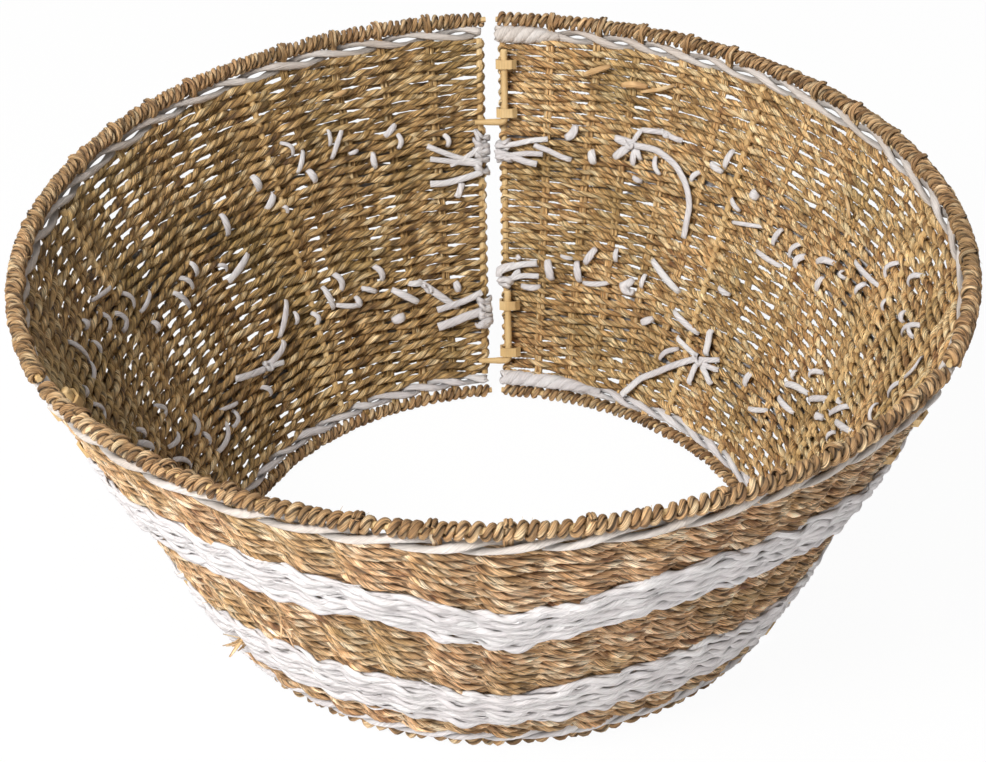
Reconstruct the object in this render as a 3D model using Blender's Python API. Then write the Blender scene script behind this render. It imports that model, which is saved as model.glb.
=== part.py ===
"""Woven seagrass collar that stands round the foot of a Christmas tree.

Three equal panels make an open cone that stands on its narrow end. Each panel is a woven wall
between two wrapped rims. Along each seam the L-shaped rattan pins of one panel stand in the
rattan loops of the next, so the seam turns like a lift-off hinge. The pins of the back seam
can also be turned out of the weave, which opens the ring there.

All sizes are in metres. +Z is up, and the floor is z = 0.
"""

import math

import bmesh
import bpy
from mathutils import Matrix, Vector

# The rings' centre lines. The panels are flatter than a circle, so a seam lies further out
# than a panel's middle.
wide_seam_radius = 0.2830
wide_middle_radius = 0.2752
narrow_seam_radius = 0.1794
narrow_middle_radius = 0.1724
ring_rise = 0.2393  # from the narrow ring's centre line up to the wide ring's
seam_gap = 0.0070
clearance = 0.0003  # between two pieces that touch
overrun = 0.0040  # how far a cutter runs past what it cuts

# Rims: a rattan core with rope wound round it.
wide_rim_radius = 0.0054
narrow_rim_radius = 0.0048
core_radius = 0.0019
rib_depth = 0.0007
rim_end_radius = 0.0042
rim_end_length = 0.0030
foot_cut = 0.0005  # how deep the narrow rim is cut flat where it stands

# The woven wall and what is woven into it.
wall_thickness = 0.0080
flute_depth = 0.0016
edge_cord_radius = 0.0034
stake_radius = 0.0022
edge_stake_inset = 0.0046
edge_stake_offset = 0.0008  # towards the outer face
band_thickness = 0.0014
band_end_inset = 0.0040
upper_band_top = 0.0700  # distances down the wall from the wide ring's centre line
upper_band_bottom = 0.1140
lower_band_top = 0.0826  # distances up the wall from the narrow ring's centre line
lower_band_bottom = 0.0356

# Latches at a seam. "Down" is measured along the wall from the wide ring's centre line, and
# "up" from the narrow ring's.
pin_radius = 0.0024
pin_side = 0.0089  # from the seam to the pin's axis, along the panel with the loops
pin_length = 0.0500
pin_bend_radius = 0.0032
leg_reach = 0.0120  # past the seam, over the panel that holds the pin
upper_leg_down = 0.0700
lower_leg_up = 0.0226
loop_thickness = 0.0016
loop_height = 0.0062
loop_width = 0.0144
loop_edge_inset = 0.0030  # from the seam to the loop's outer side
loop_bevel = 0.0034
lower_loop_rise = 0.0062  # from the pin's leg up to the loop's middle
upper_loop_rise = 0.0395
leg_recess_length = 0.0200
leg_recess_depth = 0.0120
leg_recess_height = 0.0092
leg_recess_drop = 0.0010  # the recess reaches further down, where the leg passes as it opens

# Counts, angles and shares.
panel_names = ("front", "back_right", "back_left")
panel_turn = math.radians(360 / len(panel_names))
middle_azimuth = math.radians(270)
flutes = 16  # one bulge of the rows over each stake
steps_per_flute = 4
cord_steps = 22
wide_ribs = 24
narrow_ribs = 18
core_steps = 16
rod_sides = 8
inner_stake_shares = (-0.38, 0.30)
end_thickness_shares = ((0.0, 0.45), (0.35, 0.80))
leg_recess_angle = math.radians(30)
bend_steps = 4

half_turn = panel_turn / 2
seam_difference = wide_seam_radius - narrow_seam_radius
lean = math.atan2(seam_difference, ring_rise)
slant_length = math.hypot(seam_difference, ring_rise)
wall_half = wall_thickness / 2
foot_level = narrow_rim_radius - foot_cut  # height of the narrow ring's centre line
narrow_cord_place = narrow_rim_radius + clearance + edge_cord_radius
wide_cord_place = slant_length - (wide_rim_radius + clearance + edge_cord_radius)
wall_start = narrow_cord_place + edge_cord_radius + clearance
wall_end = wide_cord_place - edge_cord_radius - clearance
lower_leg_down = slant_length - lower_leg_up

colours = {
    "wall": ((0.42, 0.30, 0.15), 0.85),
    "rim": ((0.46, 0.32, 0.17), 0.85),
    "core": ((0.72, 0.52, 0.27), 0.60),
    "cord": ((0.86, 0.83, 0.80), 0.80),
    "band": ((0.90, 0.88, 0.86), 0.80),
    "stake": ((0.68, 0.50, 0.26), 0.65),
    "loop": ((0.74, 0.53, 0.26), 0.50),
    "pin": ((0.76, 0.56, 0.30), 0.50),
}


def clear_scene():
    for obj in list(bpy.data.objects):
        bpy.data.objects.remove(obj, do_unlink=True)
    for name in ("tree_collar", "tree_collar_cutters"):
        old = bpy.data.collections.get(name)
        if old:
            bpy.data.collections.remove(old)
        bpy.context.scene.collection.children.link(bpy.data.collections.new(name))


def mix(a, b, share):
    return a + (b - a) * share


def arc_at(place):
    """The panel's arc at a distance up the wall: centre's distance from the ring's axis,
    bend radius, half angle up to the panel's edge, and height."""
    share = place / slant_length
    seam = mix(narrow_seam_radius, wide_seam_radius, share)
    middle = mix(narrow_middle_radius, wide_middle_radius, share)
    half_chord = seam * math.sin(half_turn)
    sag = middle - seam * math.cos(half_turn)
    bend = (half_chord**2 + sag**2) / (2 * sag)
    reach = math.asin(half_chord / bend) - seam_gap / 2 / bend
    return middle - bend, bend, reach, foot_level + ring_rise * share


def wall_point(place, share, offset=0.0, inset=0.0):
    """A point of the front panel. place runs up the wall, share runs from -1 at the clockwise
    edge to 1 at the other, inset moves it in from that edge, and offset is outward."""
    centre, bend, reach, height = arc_at(place)
    turn = reach * share - math.copysign(inset / bend, share)
    angle = middle_azimuth + turn
    outward = Vector((math.cos(angle), math.sin(angle), 0))
    axis_point = Vector((math.cos(middle_azimuth), math.sin(middle_azimuth), 0)) * centre
    normal = outward * math.cos(lean) - Vector((0, 0, math.sin(lean)))
    return axis_point + outward * bend + Vector((0, 0, height)) + normal * offset


def seam_frame(azimuth):
    """X along the ring, clockwise from above; Y outward; Z up the seam; on the wide ring."""
    outward = Vector((math.cos(azimuth), math.sin(azimuth), 0))
    along = Vector((math.sin(azimuth), -math.cos(azimuth), 0))
    up = outward * math.sin(lean) + Vector((0, 0, math.cos(lean)))
    normal = outward * math.cos(lean) - Vector((0, 0, math.sin(lean)))
    frame = Matrix((along, normal, up)).transposed().to_4x4()
    frame.translation = outward * wide_seam_radius + Vector((0, 0, foot_level + ring_rise))
    return frame


def material(kind):
    name = "collar_" + kind
    found = bpy.data.materials.get(name)
    if found:
        return found
    colour, roughness = colours[kind]
    new = bpy.data.materials.new(name)
    new.use_nodes = True
    shader = new.node_tree.nodes["Principled BSDF"]
    shader.inputs["Base Color"].default_value = (*colour, 1.0)
    shader.inputs["Roughness"].default_value = roughness
    shader.inputs["Metallic"].default_value = 0.0
    return new


def add_object(name, data, collection="tree_collar"):
    obj = bpy.data.objects.new(name, data)
    bpy.data.collections[collection].objects.link(obj)
    if collection == "tree_collar_cutters":
        obj.hide_render = True
        obj.display_type = "WIRE"
    return obj


def settled_mesh(obj, name):
    """The object's evaluated mesh with its curve caps welded. The object is removed."""
    bpy.context.view_layer.update()
    shape = obj.evaluated_get(bpy.context.evaluated_depsgraph_get())
    mesh = bpy.data.meshes.new_from_object(shape)
    mesh.name = name
    mesh.transform(obj.matrix_world)
    bm = bmesh.new()
    bm.from_mesh(mesh)
    bmesh.ops.remove_doubles(bm, verts=bm.verts, dist=clearance / 30)
    bmesh.ops.recalc_face_normals(bm, faces=bm.faces)
    bm.to_mesh(mesh)
    bm.free()
    bpy.data.objects.remove(obj, do_unlink=True)
    return mesh


def tube_mesh(name, points, radii, resolution):
    """A capped tube through the points, as a curve with a bevel turned into a mesh."""
    curve = bpy.data.curves.new(name, "CURVE")
    curve.dimensions = "3D"
    curve.bevel_depth = 1.0
    curve.bevel_resolution = resolution
    curve.use_fill_caps = True
    curve.twist_mode = "Z_UP"
    spline = curve.splines.new("POLY")
    spline.points.add(len(points) - 1)
    for target, point, radius in zip(spline.points, points, radii):
        target.co = (*point, 1.0)
        target.radius = radius
    return settled_mesh(add_object(name, curve), name)


def loft_mesh(name, sections):
    """A solid through four-cornered sections, closed at both ends."""
    bm = bmesh.new()
    rows = [[bm.verts.new(corner) for corner in section] for section in sections]
    for low, high in zip(rows, rows[1:]):
        for i in range(4):
            j = (i + 1) % 4
            bm.faces.new((low[i], low[j], high[j], high[i]))
    bm.faces.new(rows[0])
    bm.faces.new(rows[-1])
    bmesh.ops.recalc_face_normals(bm, faces=bm.faces)
    mesh = bpy.data.meshes.new(name)
    bm.to_mesh(mesh)
    bm.free()
    return mesh


def rod_mesh(name, start, end, radius):
    """A round rod between two points, from a cylinder primitive's bmesh operator."""
    bm = bmesh.new()
    span = end - start
    turn = span.to_track_quat("Z", "Y").to_matrix().to_4x4()
    bmesh.ops.create_cone(bm, cap_ends=True, segments=rod_sides, radius1=radius,
                          radius2=radius, depth=span.length,
                          matrix=Matrix.Translation((start + end) / 2) @ turn)
    mesh = bpy.data.meshes.new(name)
    bm.to_mesh(mesh)
    bm.free()
    return mesh


def outline_mesh(name, outlines, height):
    """A plate of the closed outlines, the first outer and the others holes, as a flat curve."""
    curve = bpy.data.curves.new(name, "CURVE")
    curve.dimensions = "2D"
    curve.fill_mode = "BOTH"
    curve.extrude = height / 2
    for outline in outlines:
        spline = curve.splines.new("POLY")
        spline.use_cyclic_u = True
        spline.points.add(len(outline) - 1)
        for target, (x, y) in zip(spline.points, outline):
            target.co = (x, y, 0.0, 1.0)
    return settled_mesh(add_object(name, curve), name)


def box_mesh(name, size, matrix):
    bm = bmesh.new()
    bmesh.ops.create_cube(bm, size=1.0, matrix=matrix @ Matrix.Diagonal((*size, 1.0)))
    mesh = bpy.data.meshes.new(name)
    bm.to_mesh(mesh)
    bm.free()
    return mesh


def cut_mesh(name, mesh, cutters):
    """The mesh with each cutter's shape taken out of it."""
    obj = add_object(name + "_blank", mesh)
    for i, cutter in enumerate(cutters):
        tool = add_object(f"{name}_cutter_{i}", cutter, "tree_collar_cutters")
        cut = obj.modifiers.new(f"cut_{i}", "BOOLEAN")
        cut.operation = "DIFFERENCE"
        cut.solver = "EXACT"
        cut.object = tool
    return settled_mesh(obj, name)


def wall_shares():
    """(share, inset, thickness share) of the wall's sections, thinner at the round edges."""
    ends = [(inset * wall_thickness, thin) for inset, thin in end_thickness_shares]
    count = flutes * steps_per_flute
    start = [(-1, inset, thin) for inset, thin in ends]
    middle = [(2 * i / count - 1, 0.0, 1.0) for i in range(1, count)]
    return start + middle + [(1, inset, thin) for inset, thin in reversed(ends)]


def fluted(share, thin=1.0):
    """The outer face's distance from the wall's middle surface."""
    wave = (1 - math.cos(math.pi * flutes * (share + 1))) / 2
    return wall_half * thin + flute_depth * wave


def wall_cutters():
    """Channels for the stakes, room for the loops, and recesses for the pins' legs."""
    cutters = []
    for i, (share, inset, offset) in enumerate(stake_places()):
        low = wall_point(wall_start - overrun, share, offset, inset)
        high = wall_point(wall_end + overrun, share, offset, inset)
        cutters.append(rod_mesh(f"stake_channel_{i}", low, high, stake_radius + clearance))
    loop_seam = seam_frame(middle_azimuth + half_turn)
    pin_seam = seam_frame(middle_azimuth - half_turn)
    for leg_down in (upper_leg_down, lower_leg_down):
        for rise in (lower_loop_rise, upper_loop_rise):
            room = outline_mesh("loop_room", loop_outlines(clearance), loop_height + 2 * clearance)
            room.transform(loop_seam @ Matrix.Translation((0, 0, rise - leg_down)))
            cutters.append(room)
        tip = Vector((-leg_reach - clearance, pin_offset + pin_radius + clearance,
                      -leg_down - leg_recess_drop))
        turned = Matrix.Rotation(leg_recess_angle, 4, "Z")
        middle = Matrix.Translation((leg_recess_length / 2, -leg_recess_depth / 2, 0))
        size = (leg_recess_length, leg_recess_depth, leg_recess_height)
        cutters.append(box_mesh("leg_recess", size,
                                pin_seam @ Matrix.Translation(tip) @ turned @ middle))
    return cutters


def stake_places():
    """(share, inset, offset) of each stake: the two at the edges, then the inner ones."""
    edge = [(side, edge_stake_inset, edge_stake_offset) for side in (-1, 1)]
    return edge + [(share, 0.0, stake_radius - wall_half) for share in inner_stake_shares]


def panel_lean(side):
    """The most that the wall's middle surface lies inside the seam's frame, at a distance
    along it, from the lower pin's leg up to the upper pin's tip."""
    leans = []
    for place in (lower_leg_up, slant_length - upper_leg_down + pin_length):
        _, bend, reach, _ = arc_at(place)
        leans.append(side * math.tan(half_turn - reach) + side**2 / (2 * bend))
    return max(leans)


pin_offset = -(wall_half + clearance + pin_radius + panel_lean(pin_side))


def loop_outlines(grow):
    """A loop's outline and its hole, as flattened octagons, grown into the strip's surroundings."""
    outer_face = wall_half + clearance + loop_thickness
    inner_face = pin_offset - pin_radius - clearance - loop_thickness
    outlines = []
    for inward in (-grow, loop_thickness + grow):
        left, right = loop_edge_inset + inward, loop_edge_inset + loop_width - inward
        low, high = inner_face + inward, outer_face - inward
        bevel = loop_bevel - inward * math.tan(math.radians(22.5))
        outlines.append([
            (left + bevel, low), (right - bevel, low), (right, low + bevel),
            (right, high - bevel), (right - bevel, high), (left + bevel, high),
            (left, high - bevel), (left, low + bevel),
        ])
    return outlines


def pin_points():
    """A pin from its tip down the seam and round the bend into its leg, about its own axis."""
    points = [Vector((0, 0, pin_length)), Vector((0, 0, pin_bend_radius))]
    for i in range(1, bend_steps):
        angle = math.pi / 2 * i / bend_steps
        points.append(Vector((math.cos(angle) - 1, 0, 1 - math.sin(angle))) * pin_bend_radius)
    return points + [Vector((-pin_bend_radius, 0, 0)), Vector((-pin_side - leg_reach, 0, 0))]


def rim_mesh(name, place, radius, ribs, cutters):
    """A wound rim: two points a turn of rope, a thick one and a thin one, and a bored middle."""
    count = 2 * ribs
    points = [wall_point(place, -1)]
    radii = [rim_end_radius]
    points.append(wall_point(place, -1, 0.0, rim_end_length))
    radii.append(radius - rib_depth)
    for i in range(1, count):
        points.append(wall_point(place, 2 * i / count - 1))
        radii.append(radius if i % 2 else radius - rib_depth)
    points.append(wall_point(place, 1, 0.0, rim_end_length))
    radii.append(radius - rib_depth)
    points.append(wall_point(place, 1))
    radii.append(rim_end_radius)
    bore = core_points(place, overrun)
    cutter = tube_mesh("bore", bore, [core_radius + clearance] * len(bore), 1)
    return cut_mesh(name, tube_mesh(name, points, radii, 2), [cutter, *cutters])


def core_points(place, extra=0.0):
    """A rim core's centre line, run on past both ends by the extra length."""
    points = [wall_point(place, 2 * i / core_steps - 1) for i in range(core_steps + 1)]
    if extra:
        first = (points[0] - points[1]).normalized() * extra
        last = (points[-1] - points[-2]).normalized() * extra
        points = [points[0] + first, *points, points[-1] + last]
    return points


def cord_mesh(name, place):
    points = [wall_point(place, 2 * i / cord_steps - 1) for i in range(cord_steps + 1)]
    return tube_mesh(name, points, [edge_cord_radius] * len(points), 1)


def wall_mesh():
    sections = []
    for share, inset, thin in wall_shares():
        outer, inner = fluted(share, thin), -wall_half * thin
        sections.append([wall_point(wall_start, share, inner, inset),
                         wall_point(wall_start, share, outer, inset),
                         wall_point(wall_end, share, outer, inset),
                         wall_point(wall_end, share, inner, inset)])
    return cut_mesh("woven_wall", loft_mesh("woven_wall", sections), wall_cutters())


def band_mesh(name, low, high):
    """White cord woven over the outer face, as a skin that follows the flutes."""
    sections = []
    count = flutes * steps_per_flute
    places = [(-1, band_end_inset)] + [(2 * i / count - 1, 0.0) for i in range(1, count)]
    for share, inset in places + [(1, band_end_inset)]:
        face = fluted(share) + clearance
        sections.append([wall_point(low, share, face, inset),
                         wall_point(low, share, face + band_thickness, inset),
                         wall_point(high, share, face + band_thickness, inset),
                         wall_point(high, share, face, inset)])
    loop_seam = seam_frame(middle_azimuth + half_turn)
    cutters = []
    for leg_down in (upper_leg_down, lower_leg_down):
        for rise in (lower_loop_rise, upper_loop_rise):
            room = outline_mesh("loop_room", loop_outlines(clearance)[:1],
                                loop_height + 2 * clearance)
            room.transform(loop_seam @ Matrix.Translation((0, 0, rise - leg_down)))
            cutters.append(room)
    return cut_mesh(name, loft_mesh(name, sections), cutters)


def foot_cutter():
    """A slab under the floor, which takes the narrow rim's lowest faces off flat."""
    size = (4 * narrow_seam_radius, 4 * narrow_seam_radius, narrow_rim_radius)
    return box_mesh("foot_slab", size, Matrix.Translation((0, 0, -narrow_rim_radius / 2)))


def panel_pieces():
    """{piece: (kind of material, mesh in the front panel's place)}"""
    pieces = {
        "woven_wall": ("wall", wall_mesh()),
        "wide_rim_wrap": ("rim", rim_mesh("wide_rim_wrap", slant_length, wide_rim_radius,
                                          wide_ribs, [])),
        "narrow_rim_wrap": ("rim", rim_mesh("narrow_rim_wrap", 0.0, narrow_rim_radius,
                                            narrow_ribs, [foot_cutter()])),
        "wide_edge_cord": ("cord", cord_mesh("wide_edge_cord", wide_cord_place)),
        "narrow_edge_cord": ("cord", cord_mesh("narrow_edge_cord", narrow_cord_place)),
        "upper_white_band": ("band", band_mesh("upper_white_band",
                                               slant_length - upper_band_bottom,
                                               slant_length - upper_band_top)),
        "lower_white_band": ("band", band_mesh("lower_white_band", lower_band_bottom,
                                               lower_band_top)),
    }
    for name, place in (("wide_rim_core", slant_length), ("narrow_rim_core", 0.0)):
        points = core_points(place)
        pieces[name] = ("core", tube_mesh(name, points, [core_radius] * len(points), 1))
    names = ("pin_edge_stake", "loop_edge_stake", "inner_stake_1", "inner_stake_2")
    for name, (share, inset, offset) in zip(names, stake_places()):
        pieces[name] = ("stake", rod_mesh(name, wall_point(wall_start, share, offset, inset),
                                          wall_point(wall_end, share, offset, inset),
                                          stake_radius))
    return pieces


def latch_places():
    """{piece: (kind, mesh, seam azimuth on the front panel, place in the seam's frame)}"""
    loop = outline_mesh("rattan_loop", loop_outlines(0.0), loop_height)
    loop.transform(Matrix.Translation((-pin_side, -pin_offset, 0)))
    points = pin_points()
    pin = tube_mesh("rattan_pin", points, [pin_radius] * len(points), 1)
    loop_azimuth, pin_azimuth = middle_azimuth + half_turn, middle_azimuth - half_turn
    places = {}
    for level, leg_down in (("upper", upper_leg_down), ("lower", lower_leg_down)):
        places[f"{level}_pin"] = ("pin", pin, pin_azimuth, -leg_down)
        for i, rise in enumerate((lower_loop_rise, upper_loop_rise), 1):
            places[f"{level}_loop_{i}"] = ("loop", loop, loop_azimuth, rise - leg_down)
    return places


def ring_shift():
    """Moves the ring so that its box, not its axis, is centred over the origin."""
    reach = []
    for k in range(len(panel_names)):
        turn = Matrix.Rotation(panel_turn * k, 3, "Z")
        for i in range(4 * wide_ribs + 1):
            reach.append((turn @ wall_point(slant_length, i / (2 * wide_ribs) - 1)).y)
    return Matrix.Translation((0, -(min(reach) + max(reach)) / 2, 0))


def joint_empty(name, matrix):
    empty = add_object(name, None)
    empty.empty_display_size = seam_gap
    empty.matrix_world = matrix
    return empty


def place_piece(name, kind, mesh, matrix, parent):
    """One piece in the world, carried by its body's empty."""
    if not mesh.materials:
        mesh.materials.append(material(kind))
    if kind not in ("wall", "loop", "band"):
        mesh.shade_smooth()
        mesh.set_sharp_from_angle(angle=math.radians(50))
    obj = add_object(name, mesh)
    obj.parent = parent
    bpy.context.view_layer.update()
    obj.matrix_world = matrix
    return obj


def build():
    clear_scene()
    shift = ring_shift()
    hinge = Matrix.Translation((pin_side, pin_offset, 0))
    seams = {name: shift @ seam_frame(math.radians(angle)) @ hinge
             for name, angle in (("left", 210), ("right", 330), ("back", 90))}
    bodies = {
        "front": joint_empty("front_panel", shift),
        "back_left": joint_empty("back_left_panel", seams["left"]),
        "back_right": joint_empty("back_right_panel", seams["right"]),
    }
    pieces, latches = panel_pieces(), latch_places()
    for k, panel in enumerate(panel_names):
        turned = shift @ Matrix.Rotation(panel_turn * k, 4, "Z")
        for name, (kind, mesh) in pieces.items():
            place_piece(f"{panel}_{name}", kind, mesh, turned, bodies[panel])
        for name, (kind, mesh, azimuth, up) in latches.items():
            local = seam_frame(azimuth) @ Matrix.Translation((pin_side, pin_offset, up))
            carrier = bodies[panel]
            if panel == "back_left" and kind == "pin":
                carrier = bodies["back_right"]  # the opened seam: these pins stay in the loops
            place_piece(f"{panel}_{name}", kind, mesh, turned @ local, carrier)
    for obj in list(bpy.data.collections["tree_collar_cutters"].objects):
        bpy.data.objects.remove(obj, do_unlink=True)
    for name, matrix in seams.items():
        point, axis = matrix.translation, matrix.to_3x3() @ Vector((0, 0, 1))
        print(name, "hinge point", [round(c, 5) for c in point], "axis",
              [round(c, 5) for c in axis])


build()
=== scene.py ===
# %% [markdown]
# # A woven seagrass collar for a Christmas tree
# The object is an open cone of three hinged panels. Each panel is seagrass rope woven round
# upright stakes, between two rims that are wound with the same rope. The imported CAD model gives
# every place and size. This script lays the fine surface over it: real rope rows, real coils and
# real cord, each worked out as numpy arrays, because a weave that is only painted on looks flat
# at the edges and shows no light between the rows.

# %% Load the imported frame
import math

import bpy
import numpy as np
from mathutils import Matrix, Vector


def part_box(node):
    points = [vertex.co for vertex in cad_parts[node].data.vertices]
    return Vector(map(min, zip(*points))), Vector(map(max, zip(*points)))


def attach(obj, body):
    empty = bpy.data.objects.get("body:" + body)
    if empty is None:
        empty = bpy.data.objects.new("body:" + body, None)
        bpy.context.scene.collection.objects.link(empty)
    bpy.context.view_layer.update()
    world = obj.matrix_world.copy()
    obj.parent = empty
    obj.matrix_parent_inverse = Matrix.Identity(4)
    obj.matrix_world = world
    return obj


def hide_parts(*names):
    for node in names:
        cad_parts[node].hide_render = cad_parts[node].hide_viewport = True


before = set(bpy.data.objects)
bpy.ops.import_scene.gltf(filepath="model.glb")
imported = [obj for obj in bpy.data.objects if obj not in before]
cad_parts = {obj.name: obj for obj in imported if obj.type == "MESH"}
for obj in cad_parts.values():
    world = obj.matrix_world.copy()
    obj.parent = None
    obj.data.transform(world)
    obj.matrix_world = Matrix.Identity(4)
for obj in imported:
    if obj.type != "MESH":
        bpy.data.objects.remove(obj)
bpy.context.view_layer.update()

# %% [markdown]
# ## The camera
# The picture was taken from the front and above, with a long lens. The camera turns round the
# ring's own axis by a small angle and rolls a little, as a hand-held one does. Its values are
# kept as plain sizes, because pieces that are placed by a pixel of the picture need them too.

# %% Set the camera
picture_width, picture_height = 986, 762
ring_shift = np.array([0.0, -0.0038, 0.0])  # the ring's axis is a little in front of the origin
foot_level = 0.0043  # height of the narrow ring's centre line
camera_distance = 1.1811
camera_height = 0.9751
camera_pitch = 0.6157
camera_orbit = 0.0050
camera_roll = -0.0186
focal_pixels = 2354.1
centre_column, centre_row = 495.1, 375.0


def camera_axes():
    """Right, up and forward: forward is turned by the orbit and tipped down by the pitch, and
    right and up are then rolled about it."""
    s, c = math.sin(camera_orbit), math.cos(camera_orbit)
    sp, cp = math.sin(camera_pitch), math.cos(camera_pitch)
    right = np.array([c, s, 0.0])
    forward = np.array([-s * cp, c * cp, -sp])
    up = np.cross(right, forward)
    sr, cr = math.sin(camera_roll), math.cos(camera_roll)
    return right * cr + up * sr, up * cr - right * sr, forward


camera_place = ring_shift + np.array([camera_distance * math.sin(camera_orbit),
                                      -camera_distance * math.cos(camera_orbit),
                                      camera_height + foot_level])
lens = bpy.data.cameras.new("camera")
lens.sensor_width = 36.0
lens.lens = focal_pixels * lens.sensor_width / picture_width
lens.shift_x = (picture_width / 2 - centre_column) / picture_width
lens.shift_y = (centre_row - picture_height / 2) / picture_width
camera = bpy.data.objects.new("camera", lens)
bpy.context.scene.collection.objects.link(camera)
right, up, forward = camera_axes()
turn = np.eye(4)
turn[:3, 0], turn[:3, 1], turn[:3, 2], turn[:3, 3] = right, up, -forward, camera_place
camera.matrix_world = Matrix(turn.tolist())
bpy.context.scene.camera = camera
print("lens in mm:", round(lens.lens, 1), "camera at", np.round(camera_place, 3))


def picture(points):
    """Pixels of points: distance along right and up over distance along forward, times the
    focal length, from the picture's centre."""
    seen = points - camera_place
    ahead = seen @ forward
    return np.stack([centre_column + focal_pixels * (seen @ right) / ahead,
                     centre_row - focal_pixels * (seen @ up) / ahead], -1)


# %% [markdown]
# ## The panels' own coordinates
# Every row, stake and cord lies on a panel's wall, so one function gives the wall: `place` is
# the way up the slope from the narrow ring, `share` runs from -1 at the edge with the pins to 1
# at the edge with the loops, and `offset` is outward. Working in these three numbers keeps each
# formula below short. The sizes are the CAD model's.

# %% Describe the wall
wide_seam_radius, wide_middle_radius = 0.2830, 0.2752
narrow_seam_radius, narrow_middle_radius = 0.1794, 0.1724
ring_rise = 0.2393
seam_gap = 0.0070
rim_radius = {"wide": 0.0054, "narrow": 0.0048}
edge_cord_radius = 0.0034
clearance = 0.0003
wall_half = 0.0040
panels = ("front", "back_right", "back_left")
panel_turn = math.radians(120)
half_turn = panel_turn / 2
lean = math.atan2(wide_seam_radius - narrow_seam_radius, ring_rise)
slant_length = math.hypot(wide_seam_radius - narrow_seam_radius, ring_rise)
cord_place = {"narrow": rim_radius["narrow"] + clearance + edge_cord_radius,
              "wide": slant_length - rim_radius["wide"] - clearance - edge_cord_radius}
wall_start = cord_place["narrow"] + edge_cord_radius + clearance
wall_end = cord_place["wide"] - edge_cord_radius - clearance


def arc_at(place):
    """The wall's arc at a height: a circle through both seams and the panel's middle. Its bend
    radius is (half chord squared + sag squared) / (2 sag)."""
    share = place / slant_length
    seam = narrow_seam_radius + (wide_seam_radius - narrow_seam_radius) * share
    middle = narrow_middle_radius + (wide_middle_radius - narrow_middle_radius) * share
    half_chord = seam * math.sin(half_turn)
    sag = middle - seam * math.cos(half_turn)
    bend = (half_chord**2 + sag**2) / (2 * sag)
    reach = np.arcsin(half_chord / bend) - seam_gap / 2 / bend
    return middle - bend, bend, reach, foot_level + ring_rise * share


def wall(panel, place, share, offset=0.0, run=0.0):
    """Points on a panel's wall with its outward and sideways directions: the arc's centre plus
    the bend radius along the angle, raised to the height, plus offset times the outward
    direction. run moves a point sideways by a length."""
    place, share, offset, run = np.broadcast_arrays(place, share, offset, run)
    centre, bend, reach, height = arc_at(place.astype(float))
    middle = math.radians(270) + panel_turn * panel
    angle = middle + reach * share + run / bend
    flat, rise = np.stack([np.cos(angle), np.sin(angle), 0 * angle], -1), np.array([0, 0, 1.0])
    outward = flat * math.cos(lean) - rise * math.sin(lean)
    along = np.stack([-np.sin(angle), np.cos(angle), 0 * angle], -1)
    axis = np.array([math.cos(middle), math.sin(middle), 0.0])
    point = axis * centre[..., None] + flat * bend[..., None] + rise * height[..., None]
    return point + outward * offset[..., None] + ring_shift, outward, along


def half_length(place):
    """Half the length of the wall's arc at a height: bend radius times half angle."""
    _, bend, reach, _ = arc_at(place)
    return bend * reach


for k, name in enumerate(panels):
    low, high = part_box(name + "_wide_rim_core")
    ends = wall(k, slant_length, np.array([-1.0, 1.0]))[0]
    print(name, "rim ends", np.round(ends, 3).tolist(), "core box", np.round([*low, *high], 3))

# %% [markdown]
# ## Rope from arrays
# All the soft pieces here are rope: strands wound about a path. A tube is a ring of points
# carried along a line, so one function can skin any number of strands into one closed mesh.
# It also writes a UV map in metres, length along the strand and way round it, which lets the
# fibre in the material follow every twist.

# %% Helpers for lines and noise
strand_sides = 6
strand_deep, strand_wide = 0.86, 1.17  # shares of its radius: a strand is pressed a little flat


def unit(vectors):
    """Vectors divided by their own lengths."""
    return vectors / np.maximum(np.linalg.norm(vectors, axis=-1, keepdims=True), 1e-12)


def lengths(path):
    """Distance travelled along a path at each of its points."""
    return np.concatenate([[0.0], np.cumsum(np.linalg.norm(np.diff(path, axis=0), axis=1))])


def wander(travel, wave, rng):
    """A smooth unevenness between about -1 and 1: the mean of three sines of unlike waves with
    random phases."""
    waves = wave * np.array([0.47, 1.0, 2.3])
    phases = rng.uniform(0, 2 * math.pi, 3)
    return np.sin(2 * math.pi * np.asarray(travel)[..., None] / waves + phases).mean(-1) * 1.5


def varied(travel, wave, much, rng):
    """1 plus `much` times the wander: the factor by which a hand-made size varies."""
    return 1 + much * wander(travel, wave, rng)


def smooth(x):
    """0 below 0, 1 above 1, and 3x squared minus 2x cubed between."""
    x = np.clip(x, 0, 1)
    return x * x * (3 - 2 * x)


def smooth_path(points, count):
    """A soft curve through a few points: straight pieces read at even steps, then averaged with
    their neighbours until the corners are round."""
    points = np.asarray(points, float)
    at = np.linspace(0, len(points) - 1, count)
    path = np.stack([np.interp(at, np.arange(len(points)), points[:, i])
                     for i in range(points.shape[1])], 1)
    for _ in range(max(2, count // len(points))):
        path[1:-1] = (path[:-2] + 2 * path[1:-1] + path[2:]) / 4
    return path


print("wander sample:", np.round(wander(np.linspace(0, 1, 4), 0.3, np.random.default_rng(1)), 2))

# %% Strands and their skin


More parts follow.
